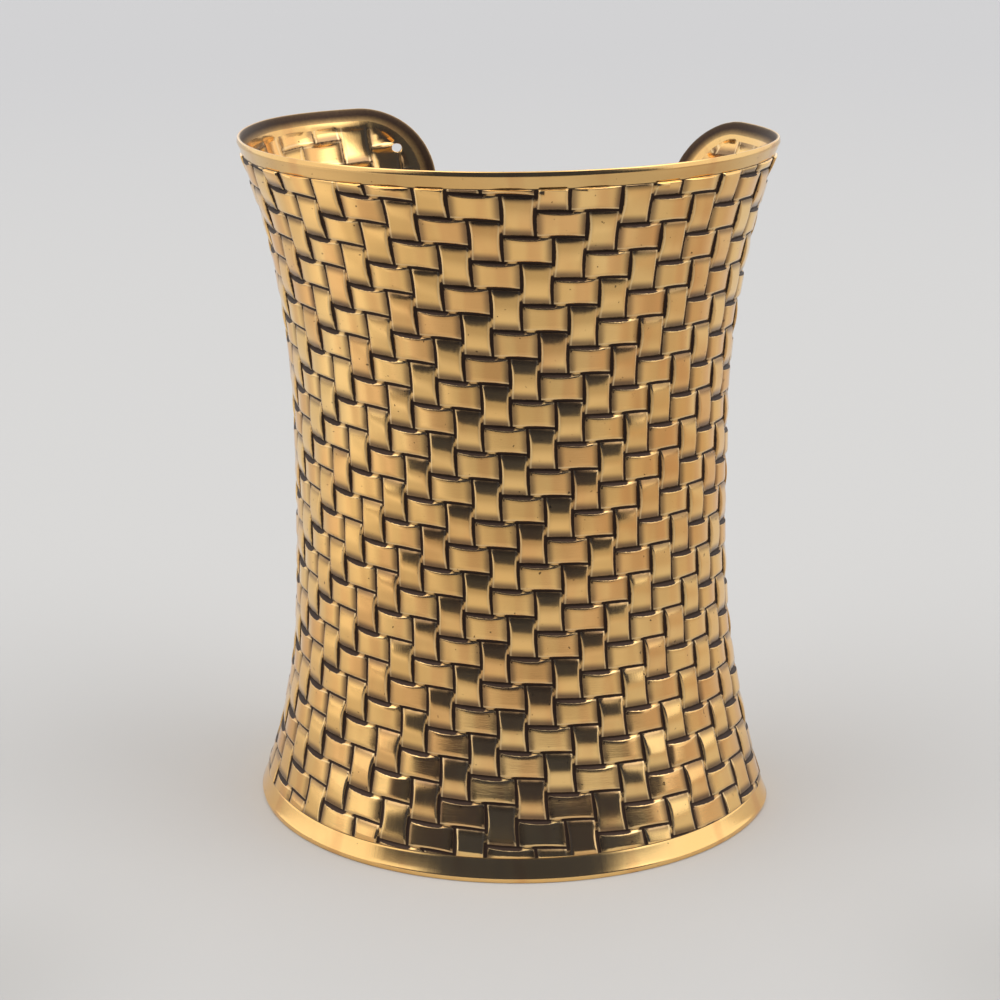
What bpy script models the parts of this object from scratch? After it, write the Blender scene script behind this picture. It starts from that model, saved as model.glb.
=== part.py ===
# Wide brass cuff bracelet, stamped all over with a basket weave.
#
# The cuff is one sheet. It is drawn flat first, with s across the sheet and t up it, and then bent
# round the wrist. It stands on its lower rim, front towards -Y and opening towards +Y. Metres, +Z up.
import math

import bmesh
import bpy
import numpy as np
from mathutils import Matrix, Vector

# Body, measured outside the sheet
HEIGHT = 0.1016            # rim to rim
WAIST_WIDTH = 0.0650       # side to side at mid height
FRONT_DEPTH = 0.0315       # widest place to the front, at mid height
BACK_DEPTH = 0.0205        # widest place to the back, were the waist closed
FLARE_SIDE = 0.0074        # how far a rim leans out past the waist at the sides
FLARE_DEPTH = 0.0069       # and at the front and back
FLARE_POWER = 2.77         # how late the flare starts
BACK_GAP = 0.0340          # between the ends at the waist
WALL = 0.0007              # sheet under the grooves

# Edge of the sheet
CORNER_WIDTH = 0.0095      # rounding of each end's corners across the sheet
CORNER_HEIGHT = 0.0115     # and up it
BEAD_WIDTH = 0.0012        # rolled bead along the whole edge
BEAD_RISE = 0.00035        # above the plain band
BEAD_SLOPE = 0.0003        # width of the bead's flanks
BEAD_FOOT = 0.0001         # outer side of the edge face, above the plain band

# Plain band between the bead and the weave
BAND_TOP = 0.0028
BAND_BOTTOM = 0.0038
BAND_END = 0.0032

# Basket weave: lying and standing tiles by turns, each one and a half times as long as wide
LYING_HEIGHT = 0.003953    # width of a lying strip
STANDING_WIDTH = 0.003995  # width of a standing strip
ROW_TURN = math.radians(-3.75)     # slope of the lying strips
COLUMN_TURN = math.radians(2.1)    # lean of the standing strips
WEAVE_S = 0.01775          # where one lying tile's upper left corner is
WEAVE_T = 0.02597
RELIEF = 0.00035           # tile tops above the grooves
GROOVE_FLANK = 0.00035     # from a groove's line to the edge of a tile top

# Small hole in the left end, near its upper corner
HOLE_DIAMETER = 0.0014
HOLE_FROM_END = 0.0050
HOLE_FROM_RIM = 0.0065

# Fineness
CORNER_STEPS = 6
EDGE_STEP = 0.0046         # longest piece of the edge across the sheet
END_STEP = 0.0080          # and up an end
LINING_STEP_S = 0.0048     # facets of the inside
LINING_STEP_T = 0.0088
SHORT_EDGE = 0.0007        # cut tiles keep no edge shorter than this
STRAIGHT_TURN = math.radians(8)    # a corner that turns less counts as straight
CUT_SNAP = 1e-7            # points this near a cut count as on it
HOLE_SIDES = 12
CURVE_SAMPLES = 2001

# Finish
BRASS_COLOR = (0.66, 0.42, 0.15, 1.0)
BRASS_ROUGHNESS = 0.28


def running_length(xs, ys):
    """Length along a curve from its first point to each of its points."""
    steps = np.hypot(np.diff(xs), np.diff(ys))
    return np.concatenate([[0.0], np.cumsum(steps)])


class CuffForm:
    """The bent shape: places a point of the flat sheet in space."""

    def __init__(self):
        half_width = WAIST_WIDTH / 2
        end_turn = math.pi - math.asin(BACK_GAP / 2 / half_width)
        turns = np.linspace(-end_turn, end_turn, CURVE_SAMPLES)
        depths = np.where(np.cos(turns) > 0, FRONT_DEPTH, BACK_DEPTH)
        lengths = running_length(half_width * np.sin(turns), -depths * np.cos(turns))
        self.turns = turns
        self.across = lengths - lengths[-1] / 2
        self.sheet_half_width = lengths[-1] / 2
        heights = np.linspace(0.0, HEIGHT, CURVE_SAMPLES)
        lengths = running_length(heights, FLARE_SIDE * self.lean(heights))
        self.heights = heights
        self.up = lengths - lengths[-1] / 2
        self.sheet_half_height = lengths[-1] / 2

    @staticmethod
    def lean(height):
        return np.abs(2 * height / HEIGHT - 1) ** FLARE_POWER

    def place(self, s, t, rise):
        """Point at s across and t up the sheet, rise outside the groove surface, measured level."""
        turn = np.interp(s, self.across, self.turns)
        height = np.interp(t, self.up, self.heights)
        lean = self.lean(height)
        half_width = WAIST_WIDTH / 2 + FLARE_SIDE * lean
        depth = (FRONT_DEPTH if math.cos(turn) > 0 else BACK_DEPTH) + FLARE_DEPTH * lean
        point = Vector((half_width * math.sin(turn), -depth * math.cos(turn), height))
        outward = Vector((depth * math.sin(turn), -half_width * math.cos(turn), 0.0)).normalized()
        return point + outward * rise


FORM = CuffForm()


def points_between(start, end, steps):
    """Points that divide a straight run into equal steps."""
    points = []
    for step in range(1, steps):
        share = step / steps
        points.append(((1 - share) * start[0] + share * end[0], (1 - share) * start[1] + share * end[1]))
    return points


def sheet_outline(inset_end, inset_bottom, inset_top, steps_across, steps_up):
    """Rounded rectangle inside the sheet's edge, counter-clockwise from the lower right corner."""
    wide = max(CORNER_WIDTH - inset_end, SHORT_EDGE)
    low_tall = max(CORNER_HEIGHT - inset_bottom, SHORT_EDGE)
    high_tall = max(CORNER_HEIGHT - inset_top, SHORT_EDGE)
    side = FORM.sheet_half_width - inset_end - wide
    low = -FORM.sheet_half_height + inset_bottom + low_tall
    high = FORM.sheet_half_height - inset_top - high_tall
    corners = [                                # centre across, centre up, height, first angle
        (side, low, low_tall, -90),
        (side, high, high_tall, 0),
        (-side, high, high_tall, 90),
        (-side, low, low_tall, 180),
    ]
    arcs = []
    for centre_s, centre_t, tall, first_angle in corners:
        arc = []
        for step in range(CORNER_STEPS + 1):
            angle = math.radians(first_angle + 90 * step / CORNER_STEPS)
            arc.append((centre_s + wide * math.cos(angle), centre_t + tall * math.sin(angle)))
        arcs.append(arc)
    points = []
    for number, arc in enumerate(arcs):
        steps = steps_up if number % 2 == 0 else steps_across
        points += arc + points_between(arc[-1], arcs[(number + 1) % 4][0], steps)
    return points


def edge_outline(inset):
    """Ring of points the same distance inside the sheet's edge all round."""
    steps_across = math.ceil(2 * (FORM.sheet_half_width - CORNER_WIDTH) / EDGE_STEP)
    steps_up = math.ceil(2 * (FORM.sheet_half_height - CORNER_HEIGHT) / END_STEP)
    return sheet_outline(inset, inset, inset, steps_across, steps_up)


def cut_to_outline(bm, outline):
    """Keeps what lies inside a convex outline."""
    for start, end in zip(outline, outline[1:] + outline[:1]):
        along = Vector((end[0] - start[0], end[1] - start[1], 0.0))
        outward = Vector((along.y, -along.x, 0.0)).normalized()
        everything = bm.verts[:] + bm.edges[:] + bm.faces[:]
        bmesh.ops.bisect_plane(
            bm, geom=everything, dist=CUT_SNAP, plane_co=(start[0], start[1], 0.0), plane_no=outward,
            clear_outer=True)


def tile_at(x, y):
    """Which tile of the weave covers a point, given in strip widths from a lying tile's upper left corner."""
    for kind, left, width, height in (("lying", 0.0, 1.5, 1.0), ("standing", 1.5, 1.0, 1.5)):
        diagonal = round((y - x + left + (width + height) / 2) / 3)
        for down in (diagonal - 1, diagonal, diagonal + 1):
            across = math.floor(-(x - left + 1.5 * down))
            for step in (across, across + 1, across + 2):
                tile_x = x - left + step + 1.5 * down
                tile_y = -(y + step - 1.5 * down)
                if 0 <= tile_x < width and 0 <= tile_y < height:
                    return kind, down, step
    return None


def weave_tiles():
    """Flat tiles of the weave, each one face, cut to the inside of the band."""
    bm = bmesh.new()
    cell = 0.5                                 # strip widths: every tile is a whole number of cells
    spare = 4                                  # strip widths past the sheet's edge
    slope_s = FORM.sheet_half_height * abs(math.tan(COLUMN_TURN))
    slope_t = FORM.sheet_half_width * abs(math.tan(ROW_TURN))
    reach_s = (FORM.sheet_half_width + abs(WEAVE_S) + slope_s) / STANDING_WIDTH + spare
    reach_t = (FORM.sheet_half_height + abs(WEAVE_T) + slope_t) / LYING_HEIGHT + spare
    count_s = math.ceil(reach_s / cell)
    count_t = math.ceil(reach_t / cell)
    bmesh.ops.create_grid(bm, x_segments=2 * count_s, y_segments=2 * count_t, size=1.0)
    bmesh.ops.scale(bm, vec=(count_s * cell, count_t * cell, 1.0), verts=bm.verts)
    tile_of_face = {}
    for face in bm.faces:
        centre = face.calc_center_median()
        tile_of_face[face] = tile_at(centre.x, centre.y)
    inner_edges = []
    for edge in bm.edges:
        if len(edge.link_faces) == 2:
            first, second = (tile_of_face[face] for face in edge.link_faces)
            if first == second:
                inner_edges.append(edge)
    bmesh.ops.dissolve_edges(bm, edges=inner_edges, use_verts=True, use_face_split=False)
    row = STANDING_WIDTH * Vector((math.cos(ROW_TURN), math.sin(ROW_TURN)))
    column = LYING_HEIGHT * Vector((-math.sin(COLUMN_TURN), math.cos(COLUMN_TURN)))
    skew = Matrix(((row.x, column.x, 0, 0), (row.y, column.y, 0, 0), (0, 0, 1, 0), (0, 0, 0, 1)))
    place = Matrix.Translation((WEAVE_S, WEAVE_T, 0.0)) @ skew
    bmesh.ops.transform(bm, matrix=place, verts=bm.verts)
    cut_to_outline(bm, sheet_outline(BAND_END, BAND_BOTTOM, BAND_TOP, 1, 1))
    bmesh.ops.dissolve_degenerate(bm, dist=SHORT_EDGE, edges=bm.edges)
    return bm


def has_room(face):
    """Whether a cut tile can be raised: each of its sides keeps some length once the flanks are taken off."""
    if face.calc_area() < face.calc_perimeter() * GROOVE_FLANK:
        return False
    for loop in face.loops:
        taken = 0.0
        for corner in (loop, loop.link_loop_next):
            taken += GROOVE_FLANK / math.tan(corner.calc_angle() / 2)
        if loop.edge.calc_length() < taken:
            return False
    return True


def raise_tiles(bm):
    """Gives each tile a raised top with sloping flanks down to the grooves."""
    roomy_tiles = [face for face in bm.faces if has_room(face)]
    bmesh.ops.inset_individual(
        bm, faces=roomy_tiles, thickness=GROOVE_FLANK, depth=0.0, use_even_offset=True)
    for face in roomy_tiles:
        for vert in face.verts:
            vert.co.z = RELIEF
    merge_straight_corners(bm, roomy_tiles)


def merge_straight_corners(bm, faces):
    """Corners on a straight side of a top, where a neighbour's corner meets it, move to the next corner."""
    targets = {}
    for face in faces:
        kept = []
        for loop in face.loops:
            before = (loop.vert.co - loop.link_loop_prev.vert.co).normalized()
            after = (loop.link_loop_next.vert.co - loop.vert.co).normalized()
            if before.dot(after) < math.cos(STRAIGHT_TURN):
                kept.append(loop.vert)
        if len(kept) < 3:
            continue
        for loop in face.loops:
            if loop.vert not in kept:
                targets[loop.vert] = min(kept, key=lambda corner: (corner.co - loop.vert.co).length)
    bmesh.ops.weld_verts(bm, targetmap=targets)


def add_ring(bm, outline, rise):
    """Closed loop of new points along an outline."""
    verts = [bm.verts.new((s, t, rise)) for s, t in outline]
    for first, second in zip(verts, verts[1:] + verts[:1]):
        bm.edges.new((first, second))
    return verts


def ring_edges(bm, verts):
    return [bm.edges.get((first, second)) for first, second in zip(verts, verts[1:] + verts[:1])]


def extrude_ring(bm, verts, outline, rise):
    """Extrudes a ring, and moves its copy to the matching points of another outline."""
    result = bmesh.ops.extrude_edge_only(bm, edges=ring_edges(bm, verts))
    fresh = {item for item in result["geom"] if isinstance(item, bmesh.types.BMVert)}
    copies = []
    for vert, (s, t) in zip(verts, outline):
        neighbours = [edge.other_vert(vert) for edge in vert.link_edges]
        copy = next(other for other in neighbours if other in fresh)
        copies.append(copy)
        copy.co = (s, t, rise)
    return copies


def lining_grid(bm, rise):
    """Flat facets of the inside, and the edges round them."""
    lining = bmesh.new()
    count_s = math.ceil(2 * FORM.sheet_half_width / LINING_STEP_S)
    count_t = math.ceil(2 * FORM.sheet_half_height / LINING_STEP_T)
    bmesh.ops.create_grid(lining, x_segments=count_s, y_segments=count_t, size=1.0)
    bmesh.ops.scale(lining, vec=(FORM.sheet_half_width, FORM.sheet_half_height, 1.0), verts=lining.verts)
    margin = BEAD_WIDTH + SHORT_EDGE
    cut_to_outline(lining, sheet_outline(margin, margin, margin, 1, 1))
    bmesh.ops.dissolve_degenerate(lining, dist=SHORT_EDGE, edges=lining.edges)
    for vert in lining.verts:
        vert.co.z = rise
    copied = {vert: bm.verts.new(vert.co) for vert in lining.verts}
    for face in lining.faces:
        bm.faces.new([copied[vert] for vert in face.verts])
    rim = [bm.edges.get([copied[vert] for vert in edge.verts]) for edge in lining.edges if edge.is_boundary]
    lining.free()
    return rim


def flat_sheet():
    """The whole sheet drawn flat: weave, band, bead, edge and inside, as one closed skin."""
    bm = weave_tiles()
    raise_tiles(bm)
    weave_rim = [edge for edge in bm.edges if edge.is_boundary]
    profile = [                                # inset from the edge, rise
        (BEAD_WIDTH, 0.0),
        (BEAD_WIDTH - BEAD_SLOPE, BEAD_RISE),
        (BEAD_SLOPE, BEAD_RISE),
        (0.0, BEAD_FOOT),
        (0.0, -WALL),
    ]
    inset, rise = profile[0]
    ring = add_ring(bm, edge_outline(inset), rise)
    bmesh.ops.triangle_fill(
        bm, edges=weave_rim + ring_edges(bm, ring), use_beauty=True, normal=(0.0, 0.0, 1.0))
    for inset, rise in profile[1:]:
        ring = extrude_ring(bm, ring, edge_outline(inset), rise)
    lining_rim = lining_grid(bm, -WALL)
    bmesh.ops.triangle_fill(
        bm, edges=lining_rim + ring_edges(bm, ring), use_beauty=True, normal=(0.0, 0.0, 1.0))
    return bm


def bend(bm):
    """Bends the flat sheet round the wrist."""
    for vert in bm.verts:
        vert.co = FORM.place(vert.co.x, vert.co.y, vert.co.z)


def hole_place():
    s = -FORM.sheet_half_width + HOLE_FROM_END
    t = FORM.sheet_half_height - HOLE_FROM_RIM
    middle = FORM.place(s, t, (RELIEF - WALL) / 2)
    along = FORM.place(s + HOLE_DIAMETER, t, 0.0) - FORM.place(s - HOLE_DIAMETER, t, 0.0)
    up = FORM.place(s, t + HOLE_DIAMETER, 0.0) - FORM.place(s, t - HOLE_DIAMETER, 0.0)
    return middle, along.cross(up).normalized()


def make_hole_cutter(collection):
    middle, outward = hole_place()
    bm = bmesh.new()
    bmesh.ops.create_cone(
        bm, cap_ends=True, segments=HOLE_SIDES, radius1=HOLE_DIAMETER / 2, radius2=HOLE_DIAMETER / 2,
        depth=4 * (WALL + RELIEF))
    mesh = bpy.data.meshes.new("hole_cutter")
    bm.to_mesh(mesh)
    bm.free()
    cutter = bpy.data.objects.new("hole_cutter", mesh)
    cutter.location = middle
    cutter.rotation_euler = outward.to_track_quat("Z", "Y").to_euler()
    cutter.display_type = "WIRE"
    cutter.hide_render = True
    collection.objects.link(cutter)
    return cutter


def brass_material():
    material = bpy.data.materials.new("antiqued_brass")
    material.use_nodes = True
    shader = material.node_tree.nodes["Principled BSDF"]
    shader.inputs["Base Color"].default_value = BRASS_COLOR
    shader.inputs["Metallic"].default_value = 1.0
    shader.inputs["Roughness"].default_value = BRASS_ROUGHNESS
    material.diffuse_color = BRASS_COLOR
    return material


def make_cuff(collection, cutter):
    bm = flat_sheet()
    bend(bm)
    bmesh.ops.recalc_face_normals(bm, faces=bm.faces)
    low = min(vert.co.y for vert in bm.verts)
    high = max(vert.co.y for vert in bm.verts)
    centring = Vector((0.0, -(low + high) / 2, 0.0))
    bmesh.ops.translate(bm, vec=centring, verts=bm.verts)
    cutter.location += centring
    mesh = bpy.data.meshes.new("cuff")
    bm.to_mesh(mesh)
    bm.free()
    cuff = bpy.data.objects.new("cuff", mesh)
    cuff.data.materials.append(brass_material())
    collection.objects.link(cuff)
    drill = cuff.modifiers.new("drill", "BOOLEAN")
    drill.operation = "DIFFERENCE"
    drill.solver = "EXACT"
    drill.object = cutter
    return cuff


def new_collection(name):
    collection = bpy.data.collections.new(name)
    bpy.context.scene.collection.children.link(collection)
    return collection


def main():
    for old in list(bpy.data.objects):
        bpy.data.objects.remove(old, do_unlink=True)
    cutters = new_collection("cutters")
    bracelet = new_collection("cuff_bracelet")
    make_cuff(bracelet, make_hole_cutter(cutters))


main()
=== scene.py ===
import math
import random

import bmesh
import bpy
import numpy as np
from mathutils import Matrix, Vector, noise


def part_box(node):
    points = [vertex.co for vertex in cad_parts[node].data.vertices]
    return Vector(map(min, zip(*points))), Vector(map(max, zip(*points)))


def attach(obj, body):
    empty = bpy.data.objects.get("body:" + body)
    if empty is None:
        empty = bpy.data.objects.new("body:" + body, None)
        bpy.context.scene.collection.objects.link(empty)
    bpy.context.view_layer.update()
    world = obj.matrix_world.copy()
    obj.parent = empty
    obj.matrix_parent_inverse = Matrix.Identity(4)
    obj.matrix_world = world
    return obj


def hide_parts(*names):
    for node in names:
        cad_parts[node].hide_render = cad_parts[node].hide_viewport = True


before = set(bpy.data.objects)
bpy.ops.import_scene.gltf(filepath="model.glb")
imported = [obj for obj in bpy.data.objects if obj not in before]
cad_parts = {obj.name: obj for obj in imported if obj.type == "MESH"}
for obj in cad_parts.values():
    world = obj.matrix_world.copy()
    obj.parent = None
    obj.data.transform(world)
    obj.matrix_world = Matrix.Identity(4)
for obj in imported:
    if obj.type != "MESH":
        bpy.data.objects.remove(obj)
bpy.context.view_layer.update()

# Brass cuff stamped with a basket weave. The sheet is drawn flat, s across it and t up it, and then
# bent round the wrist. Metres, +Z up, closed front towards -Y, opening towards +Y.

sheetLow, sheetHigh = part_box("cuff")
print("frame loaded")

cuffForm = {
    "waistWidth": 0.0650,      # side to side at mid height
    "frontDepth": 0.0315,      # widest place to the front, at mid height
    "backDepth": 0.0205,       # and to the back
    "flareDepth": 0.0069,      # how far the rims lean out at the front and back
    "flarePower": 2.77,        # how late the flare starts
    "edgeLip": 0.00015,        # room kept for the bead inside the part's box, in front, and half of it aside
    "backGap": 0.0340,
    "wall": 0.0007,
    "cornerWidth": 0.0095,     # rounding of the ends' corners
    "cornerHeight": 0.0115,
    "flatFrom": 0.0160,        # closer than this to the lower edge the relief is pressed flatter,
    "flatShare": 0.42,         # down to this share of it,
    "flatTo": 0.003,           # which is reached this far above the lower band
    "dentDepth": 0.00020,      # slow unevenness of hand-pressed sheet
    "dentSize": 0.016,         # and how far apart it runs
    "dentSeed": 3.7,
    "dentMargin": 0.006,       # it fades out towards the edge over this
    "lowDents": 1.5,           # how much more of it there is near the lower rim
    "lowDentsOver": (-0.2, -0.95),   # where that begins and is full, as shares of half the height
}


# Places points of the flat sheet in space
class CuffBend:
    def __init__(self, form):
        self.form = form
        self.height = sheetHigh.z - sheetLow.z
        self.halfWaist = form["waistWidth"] / 2
        self.flareSide = (sheetHigh.x - sheetLow.x) / 2 - self.halfWaist - form["edgeLip"] / 2
        self.centreY = sheetLow.y + form["frontDepth"] + form["flareDepth"] + form["edgeLip"]
        endTurn = math.pi - math.asin(form["backGap"] / 2 / self.halfWaist)
        samples = 2001
        self.turns = np.linspace(-endTurn, endTurn, samples)
        depths = np.where(np.cos(self.turns) > 0, form["frontDepth"], form["backDepth"])
        across = self.runningLength(self.halfWaist * np.sin(self.turns), -depths * np.cos(self.turns))
        self.across = across - across[-1] / 2
        self.halfWidth = across[-1] / 2
        self.heights = np.linspace(0.0, self.height, samples)
        up = self.runningLength(self.heights, self.flareSide * self.lean(self.heights))
        self.up = up - up[-1] / 2
        self.halfHeight = up[-1] / 2

    @staticmethod
    def runningLength(xs, ys):
        return np.concatenate([[0.0], np.cumsum(np.hypot(np.diff(xs), np.diff(ys)))])

    def lean(self, heights):
        return np.abs(2 * heights / self.height - 1) ** self.form["flarePower"]

    def place(self, s, t, rise):
        form = self.form
        turn = np.interp(s, self.across, self.turns)
        z = np.interp(t, self.up, self.heights)
        lean = self.lean(z)
        width = self.halfWaist + self.flareSide * lean
        depth = np.where(np.cos(turn) > 0, form["frontDepth"], form["backDepth"]) + form["flareDepth"] * lean
        point = np.stack([width * np.sin(turn), -depth * np.cos(turn) + self.centreY, z], axis=1)
        out = np.stack([depth * np.sin(turn), -width * np.cos(turn), np.zeros_like(turn)], axis=1)
        out /= np.linalg.norm(out, axis=1)[:, None]
        return point + out * rise[:, None]


bend = CuffBend(cuffForm)

weave = {
    "standingWidth": 0.003995,             # one strip, across
    "lyingHeight": 0.003953,               # one strip, up
    "rowTurn": math.radians(-3.75),        # slope of the lying strips
    "columnTurn": math.radians(2.1),       # lean of the standing strips
    "startS": 0.01775,                     # upper left corner of one lying tile
    "startT": 0.02597,
    "tileLength": 1.5,                     # strips
    "relief": 0.00046,                     # middle of a tile above the grooves
    "endLift": 0.12,                       # share of the relief left at a tile's ends
    "bridgeLift": 0.50,                    # share of it where two tiles run into each other
    "pinch": 0.065,                        # strips, how far a tile's long sides draw in
    "rings": (0.020, 0.052, 0.13),         # strips, groove floor, top of the wall, end of its rounding
    "sideRise": (0.0, 0.04, 0.90, 1.0),    # share of the height at a side's edge and at the three rings
    "endRise": (0.0, 0.35, 0.80, 1.0),     # and at an end
    "sideDark": (1.0, 0.9, 0.0, 0.0),      # patina at the same places
    "endDark": (1.0, 0.75, 0.22, 0.0),
    "upperWallShade": 0.80,                 # patina on the upper wall of a lying tile, made darker there as painted shade
    "bridgeEase": (0.16, 0.10),            # strips over which a bridge starts and ends
    "bridgeReach": 0.30,                   # strips, how far it reaches into the tile
    "pinchAt": 0.62,                       # strips from a tile's end to the middle of the drawn-in stretch
    "pinchReach": 0.72,                    # and half its length
    "unevenHeight": 0.14,                  # spread of the tiles' heights
    "leanAlong": 0.05,                     # how far tiles lean, as a share of the relief
    "leanAcross": 0.045,
    "leanFrom": (0.03, 0.16),              # strips from a tile's edge over which the lean comes in
    "stainAndShade": 1.0,                          # patina left in the grooves, and painted shade on the lying tiles' upper walls
    "toneSeed": 7,
}

rim = {
    "bandEnd": 0.0032,         # from the edge to the weave at the ends
    "bandBottom": 0.0038,
    "bandTop": 0.0028,
    "beadWidth": 0.00095,      # rolled edge
    "beadRise": 0.00009,
    "bandRise": 0.00003,
    "tone": 0.30,              # each tile has a tone of its own, and the rim this one
    "cornerSteps": 10,
}


def weaveInsets(outward):
    return rim["bandEnd"] - outward, rim["bandBottom"] - outward, rim["bandTop"] - outward


# A point on one rounded outline of the sheet, moved to the same place on another
def moveToOutline(s, t, old, new):
    cornerS = bend.halfWidth - cuffForm["cornerWidth"]
    cornerT = bend.halfHeight - cuffForm["cornerHeight"]
    sideS = 1 if s > 0 else -1
    sideT = 1 if t > 0 else -1
    oldTall = cuffForm["cornerHeight"] - (old[2] if t > 0 else old[1])
    newTall = cuffForm["cornerHeight"] - (new[2] if t > 0 else new[1])
    oldWide = cuffForm["cornerWidth"] - old[0]
    newWide = cuffForm["cornerWidth"] - new[0]
    overS = (abs(s) - cornerS) / oldWide
    overT = (abs(t) - cornerT) / oldTall
    if overS > 0 and overT > 0:
        size = math.hypot(overS, overT)
        return sideS * (cornerS + newWide * overS / size), sideT * (cornerT + newTall * overT / size)
    if overT > overS:
        return s, sideT * (cornerT + newTall)
    return sideS * (cornerS + newWide), t


# Corner points of a rounded outline, counter-clockwise
def outlinePolygon(insets):
    points = []
    cornerS = bend.halfWidth - cuffForm["cornerWidth"]
    cornerT = bend.halfHeight - cuffForm["cornerHeight"]
    wide = cuffForm["cornerWidth"] - insets[0]
    for sideS, sideT, firstAngle in ((1, -1, -90), (1, 1, 0), (-1, 1, 90), (-1, -1, 180)):
        tall = cuffForm["cornerHeight"] - (insets[2] if sideT > 0 else insets[1])
        for step in range(rim["cornerSteps"] + 1):
            angle = math.radians(firstAngle + 90 * step / rim["cornerSteps"])
            s = sideS * cornerS + wide * math.cos(angle)
            t = sideT * cornerT + tall * math.sin(angle)
            points.append((s, t))
    return points


def cutToOutline(bm, insets):
    outline = outlinePolygon(insets)
    for (s0, t0), (s1, t1) in zip(outline, outline[1:] + outline[:1]):
        outward = Vector((t1 - t0, s0 - s1, 0.0)).normalized()
        geometry = bm.verts[:] + bm.edges[:] + bm.faces[:]
        bmesh.ops.bisect_plane(
            bm, geom=geometry, dist=1e-7, plane_co=(s0, t0, 0.0), plane_no=outward, clear_outer=True)


# Which tile covers a point: whether it stands, and its upper left corner, in strips
def tileAt(x, y):
    length = weave["tileLength"]
    for stands, left, width, tall in ((0, 0.0, length, 1.0), (1, length, 1.0, length)):
        diagonal = round((y - x + left + (width + tall) / 2) / (2 * length))
        for down in (diagonal - 1, diagonal, diagonal + 1):
            across = math.floor(-(x - left + length * down))
            for step in (across, across + 1, across + 2):
                tileX = x - left + step + length * down
                tileY = -(y + step - length * down)
                if 0 <= tileX < width and 0 <= tileY < tall:
                    return stands, x - tileX, y + tileY
    return None


def weaveMatrix():
    row = weave["standingWidth"] * Vector((math.cos(weave["rowTurn"]), math.sin(weave["rowTurn"])))
    column = weave["lyingHeight"] * Vector((-math.sin(weave["columnTurn"]), math.cos(weave["columnTurn"])))
    skew = Matrix(((row.x, column.x, 0, 0), (row.y, column.y, 0, 0), (0, 0, 1, 0), (0, 0, 0, 1)))
    return Matrix.Translation((weave["startS"], weave["startT"], 0.0)) @ skew


# Quarter-strip cells over the sheet, parted along the tiles' edges
def latticeCells():
    toSheet = weaveMatrix()
    toStrips = toSheet.inverted()
    corners = []
    for s in (-bend.halfWidth, bend.halfWidth):
        for t in (-bend.halfHeight, bend.halfHeight):
            corners.append(toStrips @ Vector((s, t, 0)))
    lowX = math.floor(min(c.x for c in corners)) - 1
    highX = math.ceil(max(c.x for c in corners)) + 1
    lowY = math.floor(min(c.y for c in corners)) - 1
    highY = math.ceil(max(c.y for c in corners)) + 1
    bm = bmesh.new()
    bmesh.ops.create_grid(bm, x_segments=4 * (highX - lowX), y_segments=4 * (highY - lowY), size=1.0)
    bmesh.ops.scale(bm, vec=((highX - lowX) / 2, (highY - lowY) / 2, 1.0), verts=bm.verts)
    bmesh.ops.translate(bm, vec=((highX + lowX) / 2, (highY + lowY) / 2, 0.0), verts=bm.verts)
    tiles = []
    numbers = {}
    numberLayer = bm.faces.layers.int.new("tileNumber")
    outside = []
    margin = 1.6 * weave["lyingHeight"]    # just over a tile's length
    for face in bm.faces:
        centre = face.calc_center_median()
        stands, left, top = tileAt(centre.x, centre.y)
        key = (stands, round(2 * left), round(2 * top))
        if key not in numbers:
            numbers[key] = len(tiles)
            tiles.append((stands, round(2 * left) / 2, round(2 * top) / 2))
        face[numberLayer] = numbers[key]
        onSheet = toSheet @ centre
        if abs(onSheet.x) > bend.halfWidth + margin or abs(onSheet.y) > bend.halfHeight + margin:
            outside.append(face)
    bmesh.ops.delete(bm, geom=outside, context="FACES")
    borders = []
    for edge in bm.edges:
        if len(edge.link_faces) == 2:
            if edge.link_faces[0][numberLayer] != edge.link_faces[1][numberLayer]:
                borders.append(edge)
    bmesh.ops.split_edges(bm, edges=borders)
    return bm, tiles


# Place in a tile: along it and across it, in strips
def placeInTile(tile, x, y):
    stands, left, top = tile
    if stands:
        return weave["tileLength"] - (top - y), x - left
    return x - left, 1.0 - (top - y)


def placeOnLattice(tile, along, across):
    stands, left, top = tile
    if stands:
        return left + across, top - weave["tileLength"] + along
    return left + along, top - 1.0 + across


def smoothStep(low, high, value):
    share = min(max((value - low) / (high - low), 0.0), 1.0)
    return share * share * (3 - 2 * share)


# Height of a place in a tile, and its patina, with painted shade on a lying tile's upper wall
def tileProfile(stands, along, across):
    length = weave["tileLength"]
    middle = 2 * along / length - 1
    arch = 1 - (1 - weave["endLift"]) * middle * middle
    places = (0.0, *weave["rings"])
    toEnd = min(along, length - along)
    endWall = np.interp(toEnd, places, weave["endRise"])
    if across > 0.5:
        toSide = 1.0 - across
        fromGrooveEnd = along - 1.0
    else:
        toSide = across
        fromGrooveEnd = length - 1.0 - along
    sideWall = np.interp(toSide, places, weave["sideRise"])
    easeIn, easeOut = weave["bridgeEase"]
    bridge = smoothStep(0.0, easeIn, fromGrooveEnd) * smoothStep(0.0, easeOut, length - 1.0 - fromGrooveEnd)
    near = 1 - smoothStep(0.0, weave["bridgeReach"], toSide)
    grooved = arch * endWall * sideWall
    bridged = arch * endWall * (1 - near) + weave["bridgeLift"] * near
    height = grooved + (bridged - grooved) * bridge
    darkness = list(weave["sideDark"])
    # a lying tile's upper wall is darker than its patina alone: painted shade along its upper edge
    if not stands and across >= 0.5:
        darkness[2] = weave["upperWallShade"]
    sideDark = np.interp(toSide, places, darkness) * (1 - bridge)
    endDark = np.interp(toEnd, places, weave["endDark"])
    return height, max(sideDark, endDark * (1 - bridge))


# How far a tile's side draws in beside a groove
def sideDraw(along, across):
    fromCentre = 2 * across - 1
    middle = weave["pinchAt"] if fromCentre > 0 else weave["tileLength"] - weave["pinchAt"]
    bell = max(0.0, 1 - ((along - middle) / weave["pinchReach"]) ** 2)
    return -weave["pinch"] * bell * fromCentre


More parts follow.
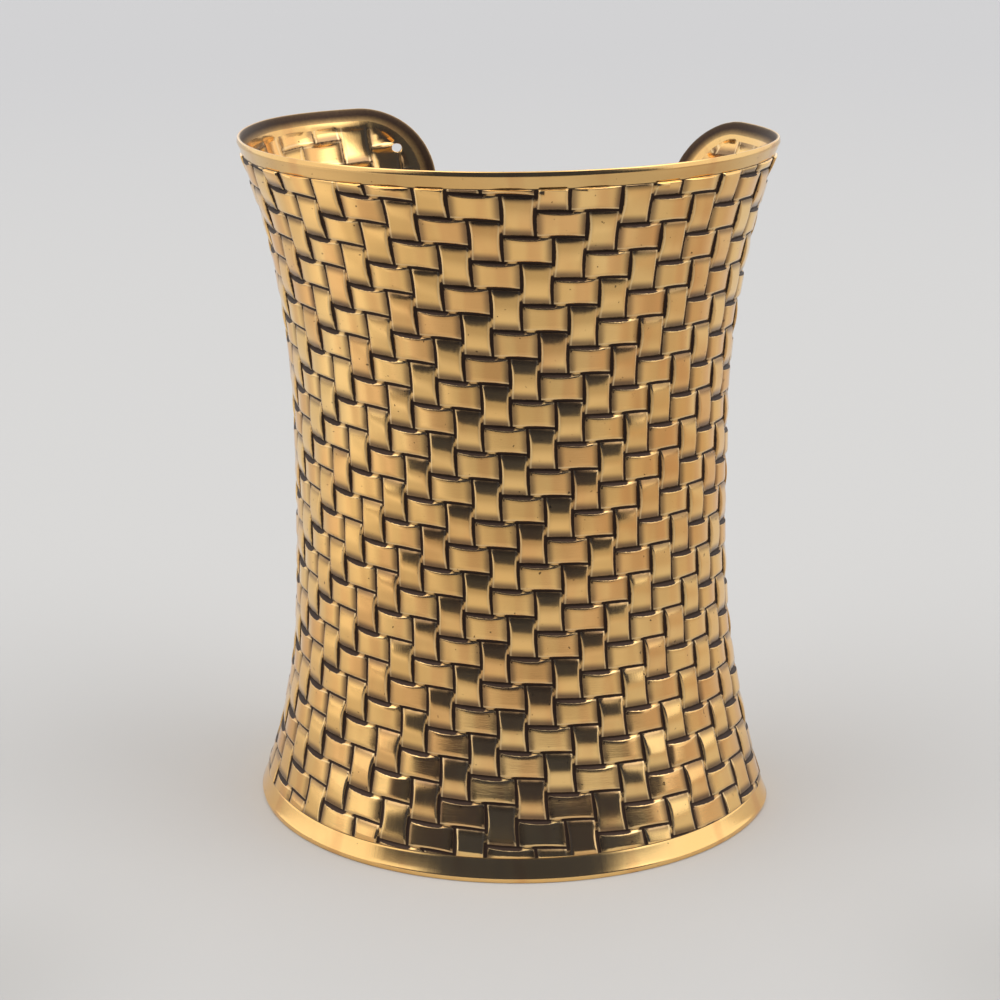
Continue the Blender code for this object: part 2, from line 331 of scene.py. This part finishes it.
# The stamped weave, flat: each tile a raised strip that dips under its neighbours at both ends
def stampedWeave(rings, depth, stainAndShade, insets):
    bm, tiles = latticeCells()
    inner = bm.faces[:]
    done = 0.0
    for ring in rings:
        bmesh.ops.inset_region(
            bm, faces=inner, thickness=ring - done, depth=0.0, use_even_offset=True, use_boundary=True)
        done = ring
    numberLayer = bm.faces.layers.int["tileNumber"]
    uvLayer = bm.loops.layers.uv.new("tileMap")
    standsLayer = bm.faces.layers.float.new("stands")
    toneLayer = bm.faces.layers.float.new("tone")
    weaveLayer = bm.faces.layers.float.new("woven")
    patinaShadeLayer = bm.verts.layers.float.new("patinaAndShade")
    shuffle = random.Random(weave["toneSeed"])
    tones = [shuffle.random() for tile in tiles]
    lifts = [1 + weave["unevenHeight"] * (shuffle.random() - 0.5) for tile in tiles]
    tilts = [(shuffle.uniform(-1, 1), shuffle.uniform(-1, 1)) for tile in tiles]
    for face in bm.faces:
        number = face[numberLayer]
        tile = tiles[number]
        face[standsLayer] = tile[0]
        face[toneLayer] = tones[number]
        face[weaveLayer] = 1.0
        for loop in face.loops:
            loop[uvLayer].uv = placeInTile(tile, loop.vert.co.x, loop.vert.co.y)
    for vert in bm.verts:
        number = vert.link_faces[0][numberLayer]
        tile = tiles[number]
        along, across = placeInTile(tile, vert.co.x, vert.co.y)
        height, dark = tileProfile(tile[0], along, across)
        if not vert.is_boundary:
            across += sideDraw(along, across)
            tiltAlong, tiltAcross = tilts[number]
            inside = min(along, weave["tileLength"] - along, across, 1 - across)
            lean = weave["leanAlong"] * tiltAlong * (2 * along / weave["tileLength"] - 1)
            lean += weave["leanAcross"] * tiltAcross * (2 * across - 1)
            height = height * lifts[number] + lean * smoothStep(*weave["leanFrom"], inside)
        x, y = placeOnLattice(tile, along, across)
        vert.co = (x, y, depth * height)
        vert[patinaShadeLayer] = dark * stainAndShade
    bmesh.ops.remove_doubles(bm, verts=bm.verts, dist=1e-5)
    bmesh.ops.transform(bm, matrix=weaveMatrix(), verts=bm.verts)
    cutToOutline(bm, insets)
    return bm


def boundaryRing(bm):
    return [edge for edge in bm.edges if edge.is_boundary]


# Extrudes the open border to another outline. Rows: outline, rise, share of the old rise kept, darkness
# (patina, and a painted dark reflection round the edge), woven
def addRimRows(bm, start, rows):
    patinaShadeLayer = bm.verts.layers.float["patinaAndShade"]
    weaveLayer = bm.faces.layers.float["woven"]
    toneLayer = bm.faces.layers.float["tone"]
    ring = boundaryRing(bm)
    old = start
    for new, rise, kept, dark, woven in rows:
        result = bmesh.ops.extrude_edge_only(bm, edges=ring)
        verts = [item for item in result["geom"] if isinstance(item, bmesh.types.BMVert)]
        ring = [item for item in result["geom"] if isinstance(item, bmesh.types.BMEdge) and item.is_boundary]
        for face in result["geom"]:
            if isinstance(face, bmesh.types.BMFace):
                face[weaveLayer] = woven
                face[toneLayer] = rim["tone"]
        for vert in verts:
            s, t = moveToOutline(vert.co.x, vert.co.y, old, new)
            vert.co = (s, t, rise + kept * vert.co.z)
            vert[patinaShadeLayer] = max(dark, kept * vert[patinaShadeLayer])
        old = new


def edgeInsets(inset):
    return inset, inset, inset


# From the weave's edge over the band and the rolled edge to the inside
def outsideRows():
    bead = rim["beadWidth"]
    rise = rim["beadRise"]
    band = rim["bandRise"]
    wall = cuffForm["wall"]
    return [
        (weaveInsets(0.00007), 0.0, 0.70, 0.05, 1.0),
        (weaveInsets(0.00014), 0.0, 0.04, 0.62, 1.0),
        (weaveInsets(0.00022), 0.0, 0.0, 0.62, 0.0),
        (weaveInsets(0.00032), band * 0.8, 0.0, 0.05, 0.0),
        (weaveInsets(0.00055), band, 0.0, 0.0, 0.0),
        (edgeInsets(bead + 0.0006), band * 1.2, 0.0, 0.0, 0.0),
        (edgeInsets(bead), rise * 0.75, 0.0, 0.12, 0.0),
        (edgeInsets(bead * 0.80), rise, 0.0, 0.0, 0.0),
        (edgeInsets(bead * 0.70), rise * 0.60, 0.0, 0.0, 0.0),
        (edgeInsets(bead * 0.44), -0.12 * wall, 0.0, 0.0, 0.0),
        (edgeInsets(bead * 0.18), -0.31 * wall, 0.0, 0.0, 0.0),
        # the darkness on these rows round the edge is painted: it stands in for the dark room's reflection
        # along the rim
        (edgeInsets(bead * 0.05), -0.42 * wall, 0.0, 0.10, 0.0),
        (edgeInsets(0.0), -0.60 * wall, 0.0, 0.35, 0.0),
        (edgeInsets(bead * 0.08), -0.95 * wall, 0.0, 0.64, 0.0),
        (edgeInsets(bead * 0.35), -1.0 * wall, 0.0, 0.68, 0.0),
    ]


hole = {"diameter": 0.0014, "fromEnd": 0.0050, "fromRim": 0.0065, "sides": 16, "cutWithin": 2.5}


# Round hole: the skin within some radii is cut along the hole's sides, and what lies inside is taken out
def punchHole(bm, s, t, radius, sides):
    centre = Vector((s, t))
    within = hole["cutWithin"] * radius
    near = [face for face in bm.faces if (face.calc_center_median().xy - centre).length < within]
    for step in range(sides):
        angle = 2 * math.pi * (step + 0.5) / sides
        outward = Vector((math.cos(angle), math.sin(angle), 0.0))
        geometry = set(near)
        for face in near:
            geometry.update(face.edges)
            geometry.update(face.verts)
        reach = radius * math.cos(math.pi / sides)
        result = bmesh.ops.bisect_plane(
            bm, geom=list(geometry), dist=1e-7,
            plane_co=centre.to_3d() + outward * reach, plane_no=outward)
        near = [item for item in result["geom"] if isinstance(item, bmesh.types.BMFace)]
    inside = [face for face in near if (face.calc_center_median().xy - centre).length < radius]
    before = set(boundaryRing(bm))
    bmesh.ops.delete(bm, geom=inside, context="FACES")
    return [edge for edge in boundaryRing(bm) if edge not in before]


# Copies one flat skin into another and returns the copy of each vertex
def addSkin(bm, skin):
    layers = []
    for name in ("stands", "tone", "woven"):
        layers.append((skin.faces.layers.float[name], bm.faces.layers.float[name]))
    uvFrom = skin.loops.layers.uv["tileMap"]
    uvTo = bm.loops.layers.uv["tileMap"]
    patinaShadeFrom = skin.verts.layers.float["patinaAndShade"]
    patinaShadeTo = bm.verts.layers.float["patinaAndShade"]
    copied = {}
    for vert in skin.verts:
        copied[vert] = bm.verts.new(vert.co)
        copied[vert][patinaShadeTo] = vert[patinaShadeFrom]
    for face in skin.faces:
        made = bm.faces.new([copied[vert] for vert in face.verts])
        for source, target in layers:
            made[target] = face[source]
        for old, new in zip(face.loops, made.loops):
            new[uvTo].uv = old[uvFrom].uv
    return copied


lining = {
    "rings": (0.085,),
    "depth": 0.00034,          # relief left on the inside
    "stainAndShade": 0.62,
    "rimDarkening": 0.70,          # dark strip along the edge
    "rimStrip": 0.0019,        # its width
    "start": 0.0006,           # its outline, before it fades, lies this far inside the outside's
    "fades": (0.0005, 0.0011),   # how far outside that the relief is lowered, and gone
}


def makeSheet():
    wall = cuffForm["wall"]
    bm = stampedWeave(weave["rings"], weave["relief"], weave["stainAndShade"], weaveInsets(0.0))
    print("weave stamped:", len(bm.faces), "faces")
    addRimRows(bm, weaveInsets(0.0), outsideRows())
    inside = stampedWeave(lining["rings"], lining["depth"], lining["stainAndShade"], weaveInsets(-lining["start"]))
    lowered, faded = lining["fades"]
    insideRows = [
        (weaveInsets(-lining["start"] + lowered), 0.0, 0.25, 0.0, 1.0),
        (weaveInsets(-lining["start"] + faded), 0.0, 0.0, 0.0, 0.0),
        (edgeInsets(lining["rimStrip"]), 0.0, 0.0, lining["rimDarkening"] * 0.75, 0.0),
        (edgeInsets(lining["rimStrip"] * 0.5), 0.0, 0.0, lining["rimDarkening"], 0.0),
    ]
    addRimRows(inside, weaveInsets(-lining["start"]), insideRows)
    bmesh.ops.translate(inside, vec=(0.0, 0.0, -wall), verts=inside.verts)
    holeS = -bend.halfWidth + hole["fromEnd"]
    holeT = bend.halfHeight - hole["fromRim"]
    radius = hole["diameter"] / 2
    outerHole = punchHole(bm, holeS, holeT, radius, hole["sides"])
    insideHole = punchHole(inside, holeS, holeT, radius, hole["sides"])
    # the punching splits edges near the hole, so both borders are taken after it
    outerBorder = [edge for edge in boundaryRing(bm) if edge not in outerHole]
    insideBorder = [edge for edge in boundaryRing(inside) if edge not in insideHole]
    copied = addSkin(bm, inside)

    def copiedEdges(edges):
        return [bm.edges.get([copied[vert] for vert in edge.verts]) for edge in edges]

    bmesh.ops.bridge_loops(bm, edges=outerHole + copiedEdges(insideHole))
    bmesh.ops.triangle_fill(
        bm, edges=outerBorder + copiedEdges(insideBorder), use_beauty=True, normal=(0.0, 0.0, 1.0))
    inside.free()
    return bm


# Slow dents, stronger near the lower rim
def dentRise(points):
    size = cuffForm["dentSize"]
    rises = []
    for s, t in points:
        spot = Vector((s / size, t / size, cuffForm["dentSeed"]))
        low = 1 + cuffForm["lowDents"] * smoothStep(*cuffForm["lowDentsOver"], t / bend.halfHeight)
        rises.append(cuffForm["dentDepth"] * low * noise.noise(spot))
    return np.array(rises)


def makeCuff():
    bm = makeSheet()
    flat = np.array([vert.co for vert in bm.verts])
    fade = np.clip((bend.halfHeight - np.abs(flat[:, 1])) / cuffForm["dentMargin"], 0, 1)
    fade *= np.clip((bend.halfWidth - np.abs(flat[:, 0])) / cuffForm["dentMargin"], 0, 1)
    height = flat[:, 1] + bend.halfHeight
    flattest = rim["bandBottom"] + cuffForm["flatTo"]
    pressed = np.interp(height, (flattest, cuffForm["flatFrom"]), (cuffForm["flatShare"], 1.0))
    proud = np.maximum(flat[:, 2] - rim["beadRise"], 0.0)
    rise = flat[:, 2] - proud * (1.0 - pressed) + dentRise(flat[:, :2]) * fade
    placed = bend.place(flat[:, 0], flat[:, 1], rise)
    for vert, point in zip(bm.verts, placed):
        vert.co = point
    bmesh.ops.recalc_face_normals(bm, faces=bm.faces)
    for face in bm.faces:
        face.smooth = True
    unsound = [edge for edge in bm.edges if len(edge.link_faces) != 2]
    print("open or crowded edges:", len(unsound), "volume cm3:", round(bm.calc_volume() * 1e6, 2))
    mesh = bpy.data.meshes.new("wovenCuff")
    bm.to_mesh(mesh)
    bm.free()
    piece = bpy.data.objects.new("wovenCuff", mesh)
    bpy.context.scene.collection.objects.link(piece)
    print("cuff made:", len(mesh.polygons), "faces")
    return piece


# Shader work: Wire wraps a socket so that expressions add Math nodes
class Wire:
    def __init__(self, bench, socket):
        self.bench = bench
        self.socket = socket

    def work(self, operation, first, second=0.0):
        return self.bench.node("ShaderNodeMath", {"operation": operation}, {0: first, 1: second})

    def __add__(self, other):
        return self.work("ADD", self, other)

    def __radd__(self, other):
        return self.work("ADD", other, self)

    def __sub__(self, other):
        return self.work("SUBTRACT", self, other)

    def __rsub__(self, other):
        return self.work("SUBTRACT", other, self)

    def __mul__(self, other):
        return self.work("MULTIPLY", self, other)

    def __rmul__(self, other):
        return self.work("MULTIPLY", other, self)

    def __truediv__(self, other):
        return self.work("DIVIDE", self, other)

    def __pow__(self, other):
        return self.work("POWER", self, other)

    def most(self, other):
        return self.work("MAXIMUM", self, other)

    def least(self, other):
        return self.work("MINIMUM", self, other)

    def between(self, low, high):
        ranges = {"interpolation_type": "SMOOTHSTEP"}
        return self.bench.node("ShaderNodeMapRange", ranges, {0: self, 1: low, 2: high, 3: 0.0, 4: 1.0})


class Bench:
    def __init__(self, tree):
        self.tree = tree

    # One node: its settings are set first, then its sockets are given values or wires
    def node(self, kind, settings=None, sockets=None, out=0):
        made = self.tree.nodes.new(kind)
        for name, value in (settings or {}).items():
            setattr(made, name, value)
        for key, value in (sockets or {}).items():
            if isinstance(value, Wire):
                self.tree.links.new(value.socket, made.inputs[key])
            else:
                made.inputs[key].default_value = value
        return Wire(self, made.outputs[out])

    def blend(self, share, first, second):
        settings = {"data_type": "RGBA", "blend_type": "MIX"}
        return self.node("ShaderNodeMix", settings, {0: share, 6: first, 7: second}, 2)


brass = {
    "gold": (0.98, 0.597, 0.214, 1.0),
    "pale": (1.00, 0.670, 0.275, 1.0),
    "copper": (0.80, 0.395, 0.150, 1.0),
    "wornAndSheen": (1.0, 0.74, 0.40, 1.0),        # the tiles' polished edges, painted paler as a highlight line
    "patinaAndShade": (0.042, 0.025, 0.018, 1.0),
    "shadeAndDull": (0.110, 0.070, 0.055, 1.0),    # painted shade on the tiles' ends, where they dip under their neighbours, and a little on the upper band; both are also made duller
    "roughness": 0.13,
    "drawnRough": 0.12,                    # roughness added by the drawn lines, haze and patina
    "dullShadeRough": 0.10,
    "grooveRough": 0.35,
    "grooveDull": 0.12,                    # metal look lost under patina and painted shade
    "patinaShadeFrom": (0.30, 0.72),            # amounts of patina and painted shade over which the dark covers the gold
    "endFade": (0.04, 0.33),               # strips from a tile's end over which its painted shade fades
    "lowFade": (0.10, 0.40),               # and from the lower end of a standing one
    "sideFade": (0.02, 0.20),              # strips from a tile's side
    "sideShade": 0.4,                       # share of the painted shade at a tile's sides, against 1 at its ends
    "shadeShare": 0.85,
    "wornFrom": (0.040, 0.058),            # strips from a tile's side where its polished edge and painted highlight start
    "wornTo": (0.075, 0.125),              # and ends
    "topBand": (0.092, 0.097),             # heights over which the upper band is painted darker and turns duller
    "topShade": 0.24,
    "pitsFrom": (0.725, 0.75),             # a higher range makes fewer pits
    "pitsShare": 0.8,
    "copperFrom": (0.55, 0.90),            # strips along a lying tile where it turns more coppery
    "copperTo": (1.00, 1.35),              # and less so
    "copperShare": 0.50,
    "paleFrom": (0.35, 0.70),              # broad patches of paler gold
    "drawnStretch": (1.3, 16.0),           # lines drawn along a tile: how often they change along and across
    "drawnScale": 1.6,
    "fineScale": 2600.0,                   # noises, per metre
    "cloudScale": 90.0,
    "broadScale": 28.0,
    "crumbScale": 1500.0,
    "streakScale": 260.0,
    "streakLength": 0.30,                  # the lower, the longer the upright streaks
    "bump": 0.28,
    "bumpDepth": 0.00003,
}


def brassMaterial():
    material = bpy.data.materials.new("agedBrass")
    material.use_nodes = True
    tree = material.node_tree
    bench = Bench(tree)
    shader = tree.nodes["Principled BSDF"]
    spot = bench.node("ShaderNodeTexCoord", out=3)
    layers = []
    for name in ("tone", "woven", "stands", "patinaAndShade"):
        layers.append(bench.node("ShaderNodeAttribute", {"attribute_name": name}, out=2))
    tone, woven, stands, patinaAndShade = layers
    tileMap = bench.node("ShaderNodeUVMap", {"uv_map": "tileMap"})
    along = bench.node("ShaderNodeSeparateXYZ", None, {0: tileMap})
    across = Wire(bench, along.socket.node.outputs[1])

    def noiseAt(vector, scale, detail=3.0, rough=0.55):
        settings = {"noise_dimensions": "3D"}
        return bench.node("ShaderNodeTexNoise", settings,
                          {"Vector": vector, "Scale": scale, "Detail": detail, "Roughness": rough})

    # lines drawn along each tile, moved by its tone so that tiles differ
    changeAlong, changeAcross = brass["drawnStretch"]
    shifted = bench.node(
        "ShaderNodeCombineXYZ", None,
        {0: along * changeAlong + tone * 40.0, 1: across * changeAcross, 2: tone * 17.0})
    drawn = noiseAt(shifted, brass["drawnScale"], 4.0, 0.6)
    fine = noiseAt(spot, brass["fineScale"], 2.0)
    cloud = noiseAt(spot, brass["cloudScale"], 3.0)
    broad = noiseAt(spot, brass["broadScale"], 2.0)
    crumbs = noiseAt(spot, brass["crumbScale"], 2.0, 0.5)
    stretched = bench.node("ShaderNodeMapping", None, {0: spot, 3: (1.0, 1.0, brass["streakLength"])})
    upright = noiseAt(stretched, brass["streakScale"], 2.0)

    # dark patina in the grooves, thinning over the low ends of the tiles, with the painted shade and painted
    # dark reflection that share its attribute
    grain = ((fine - 0.5) * 0.5 + (cloud - 0.5) * 0.35) * (woven * 0.9 + 0.1)
    groove = (patinaAndShade + grain).between(*brass["patinaShadeFrom"])
    # painted shade at the tiles' ends, where they dip under their neighbours, at their sides, and at the
    # lower ends of standing ones; it also makes them duller
    toEnd = along.least(weave["tileLength"] - along)
    endShade = (1.0 - toEnd.between(*brass["endFade"])) * woven
    toSide = across.least(1.0 - across)
    sideShade = (1.0 - toSide.between(*brass["sideFade"])) * woven * brass["sideShade"]
    lowEndShade = stands * (1.0 - along.between(*brass["lowFade"])) * woven
    shadeAndDull = (endShade.most(sideShade) * (0.45 + cloud * 0.8)).most(lowEndShade * (0.70 + cloud * 0.5)).least(1.0)
    # and painted shade, with dulling, on the upper band
    height = bench.node("ShaderNodeSeparateXYZ", None, {0: spot}, 2)
    shadeAndDull = shadeAndDull.most(height.between(*brass["topBand"]) * (1.0 - woven) * brass["topShade"])
    pits = crumbs.between(*brass["pitsFrom"]) * brass["pitsShare"]
    # rubbed edges along the tiles' sides, painted paler as a highlight line
    edge = toSide.between(*brass["wornFrom"]) * (1.0 - toSide.between(*brass["wornTo"])) * woven
    band = (1.0 - stands) * along.between(*brass["copperFrom"]) * (1.0 - along.between(*brass["copperTo"]))
    coppery = (tone * 0.45 + upright * 0.9 + band * 0.30 - 0.60).between(0.0, 0.42)

    gold = bench.blend(broad.between(*brass["paleFrom"]), brass["gold"], brass["pale"])
    gold = bench.blend(coppery * brass["copperShare"], gold, brass["copper"])
    gold = bench.blend(shadeAndDull * brass["shadeShare"], gold, brass["shadeAndDull"])
    gold = bench.blend(edge * (0.15 + cloud * 0.6), gold, brass["wornAndSheen"])
    colour = bench.blend(groove.most(pits), gold, brass["patinaAndShade"])
    rough = brass["roughness"] + (drawn - 0.5) * brass["drawnRough"] + shadeAndDull * brass["dullShadeRough"]
    rough = rough + groove * brass["grooveRough"]

    grit = drawn * 0.5 + fine * 0.20 + cloud * 1.2
    bump = bench.node(
        "ShaderNodeBump", None, {"Strength": brass["bump"], "Distance": brass["bumpDepth"], "Height": grit})
    links = tree.links
    links.new(colour.socket, shader.inputs["Base Color"])
    links.new(rough.socket, shader.inputs["Roughness"])
    links.new((1.0 - groove * brass["grooveDull"]).socket, shader.inputs["Metallic"])
    links.new(bump.socket, shader.inputs["Normal"])
    return material


cuff = makeCuff()
cuff.data.materials.append(brassMaterial())
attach(cuff, "root")
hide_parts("cuff")

# Camera, found from the photo's outline of the cuff
viewpoint = {
    "turn": -0.3234,           # how far the cuff is turned from facing the camera
    "distance": 0.35816,       # from the middle of the cuff
    "height": 0.15216,         # above the floor
    "pitch": 0.28927,          # how far it looks down
    "pan": -0.00537,
    "roll": -0.01114,
    "lens": 88.6,              # millimetres, as is the sensor
    "sensor": 36.0,
}


def makeCamera():
    data = bpy.data.cameras.new("camera")
    data.lens = viewpoint["lens"]
    data.sensor_width = viewpoint["sensor"]
    data.clip_start = 0.01
    data.clip_end = 50.0
    camera = bpy.data.objects.new("camera", data)
    bpy.context.scene.collection.objects.link(camera)
    camera.matrix_world = (
        Matrix.Translation((0, bend.centreY, 0))
        @ Matrix.Rotation(-viewpoint["turn"], 4, "Z")
        @ Matrix.Translation((0, -viewpoint["distance"], viewpoint["height"]))
        @ Matrix.Rotation(-viewpoint["pan"], 4, "Z")
        @ Matrix.Rotation(math.pi / 2 - viewpoint["pitch"], 4, "X")
        @ Matrix.Rotation(viewpoint["roll"], 4, "Z"))
    bpy.context.scene.camera = camera


studio = {
    "floorSize": 8.0,
    "tableFront": 0.34,                    # from the cuff's middle to the table's edge on the camera's side
    "floor": (0.465, 0.462, 0.457, 1.0),
    "farFloor": (0.425, 0.425, 0.433, 1.0),
    "shadedFloor": (0.310, 0.299, 0.282, 1.0),   # near the table's edge, and a little beside the cuff's foot
    "warmShadeFloor": (0.350, 0.285, 0.235, 1.0),     # painted shade to the right, darker and warmer, which the cuff's right side reflects
    "lightPoolFloor": (0.640, 0.631, 0.616, 1.0),   # a painted pool of light to the left, which the cuff's left side reflects
    "farFrom": (0.15, 1.1),                # distances over which the far floor's darker colour, a painted fall-off of the light, comes in
    "shadeFrom": (-0.22, -0.10),           # places along the table over which the shade goes
    "rightFrom": (0.09, 0.20),             # places across it for the painted shade and light at the sides
    "leftFrom": (-0.20, -0.10),
    "warmShadeShare": 0.75,
    "sidesEnd": (0.0, 0.12),               # places along it over which those end
    "footFrom": (0.0012, 0.0050),          # the shade beside the foot, over squared distances to the side
    "footNear": (-0.12, -0.09),            # places along it over which that comes in
    "footFar": (-0.06, -0.02),             # and goes
    "footShare": 0.35,
    "roughness": 0.9,
    "specular": 0.1,
    "sky": (0.95, 0.945, 0.94, 1.0),
    "overhead": 1.20,
    "side": 1.17,
    "room": (0.045, 0.054, 0.095, 1.0),    # the dark room behind the camera
    "roomWidth": math.radians(61),         # half its width, low down
    "roomNarrow": math.radians(42),        # and from 18 degrees up
    "roomTop": math.radians(38),           # how high it reaches
    "roomNarrowing": (0.10, 0.31),         # sines of the heights over which it narrows
    "softSide": 0.10,                      # how soft its sides are, in cosines
    "softTop": 0.12,                       # and its top, in radians
    "overheadFrom": (0.45, 0.95),          # sines of the heights over which side turns to overhead
    "lampEdge": 0.25,                      # a lamp fades over this share of its size, inwards and outwards
    "lamps": (                             # turned from the camera, height and size in degrees, strength
        {"turn": 66, "height": 47, "size": 25, "strength": 1.8},
        {"turn": -66, "height": 50, "size": 27, "strength": 1.5},
    ),
}


def makeFloor():
    bm = bmesh.new()
    half = studio["floorSize"] / 2
    away = Matrix.Translation((0, half - studio["tableFront"], 0))
    bmesh.ops.create_grid(bm, x_segments=1, y_segments=1, size=half, matrix=away)
    mesh = bpy.data.meshes.new("floor")
    bm.to_mesh(mesh)
    bm.free()
    floor = bpy.data.objects.new("floor", mesh)
    floor.rotation_euler.z = -viewpoint["turn"]
    bpy.context.scene.collection.objects.link(floor)
    material = bpy.data.materials.new("paleTable")
    material.use_nodes = True
    shader = material.node_tree.nodes["Principled BSDF"]
    bench = Bench(material.node_tree)
    x = bench.node("ShaderNodeSeparateXYZ", None, {0: bench.node("ShaderNodeTexCoord", out=3)})
    y = Wire(bench, x.socket.node.outputs[1])
    distance = (x * x + y * y) ** 0.5
    # the floor is painted darker far from the cuff: painted shade where less light reaches
    colour = bench.blend(distance.between(*studio["farFrom"]), studio["floor"], studio["farFloor"])
    beside = 1.0 - y.between(*studio["sidesEnd"])
    # painted shade on the floor to the right
    right = x.between(*studio["rightFrom"]) * beside
    colour = bench.blend(right * studio["warmShadeShare"], colour, studio["warmShadeFloor"])
    # a painted pool of light on the floor to the left
    left = (1.0 - x.between(*studio["leftFrom"])) * beside
    colour = bench.blend(left, colour, studio["lightPoolFloor"])
    foot = (x * x).between(*studio["footFrom"]) * y.between(*studio["footNear"])
    foot = foot * (1.0 - y.between(*studio["footFar"]))
    shade = (1.0 - y.between(*studio["shadeFrom"])).most(foot * studio["footShare"])
    colour = bench.blend(shade, colour, studio["shadedFloor"])
    material.node_tree.links.new(colour.socket, shader.inputs["Base Color"])
    shader.inputs["Roughness"].default_value = studio["roughness"]
    shader.inputs["Specular IOR Level"].default_value = studio["specular"]
    mesh.materials.append(material)


# Soft bright surroundings, with the dark room behind the camera
def makeSurroundings():
    world = bpy.data.worlds.new("studio")
    bpy.context.scene.world = world
    world.use_nodes = True
    tree = world.node_tree
    bench = Bench(tree)
    background = tree.nodes["Background"]
    look = bench.node("ShaderNodeTexCoord", out=0)
    x = bench.node("ShaderNodeSeparateXYZ", None, {0: look})
    y = Wire(bench, x.socket.node.outputs[1])
    z = Wire(bench, x.socket.node.outputs[2])
    toCamera = bpy.context.scene.camera.location
    flat = Vector((toCamera.x, toCamera.y, 0)).normalized()
    facing = (x * flat.x + y * flat.y) / ((1.0 - z * z) ** 0.5).most(0.001)
    wide = math.cos(studio["roomWidth"])
    narrow = math.cos(studio["roomNarrow"])
    border = wide + (narrow - wide) * z.between(*studio["roomNarrowing"])
    softTop = studio["softTop"]
    low = 1.0 - z.between(math.sin(studio["roomTop"] - softTop), math.sin(studio["roomTop"] + softTop))
    dark = facing.between(border - studio["softSide"], border + studio["softSide"]) * low
    level = studio["side"] + (studio["overhead"] - studio["side"]) * z.between(*studio["overheadFrom"])
    cameraTurn = math.atan2(flat.y, flat.x)
    for lamp in studio["lamps"]:
        turn = cameraTurn + math.radians(lamp["turn"])
        height = math.radians(lamp["height"])
        size = math.radians(lamp["size"])
        flatShare = math.cos(height)
        towards = x * (flatShare * math.cos(turn)) + y * (flatShare * math.sin(turn)) + z * math.sin(height)
        outer = math.cos(size * (1 + studio["lampEdge"]))
        inner = math.cos(size * (1 - studio["lampEdge"]))
        level = level + towards.between(outer, inner) * lamp["strength"]
    strength = level * (1.0 - dark) + dark
    colour = bench.blend(dark, studio["sky"], studio["room"])
    tree.links.new(strength.socket, background.inputs["Strength"])
    tree.links.new(colour.socket, background.inputs["Color"])


makeCamera()
bpy.context.view_layer.update()
makeFloor()
makeSurroundings()
bpy.context.scene.view_settings.view_transform = "Standard"
print("studio made")
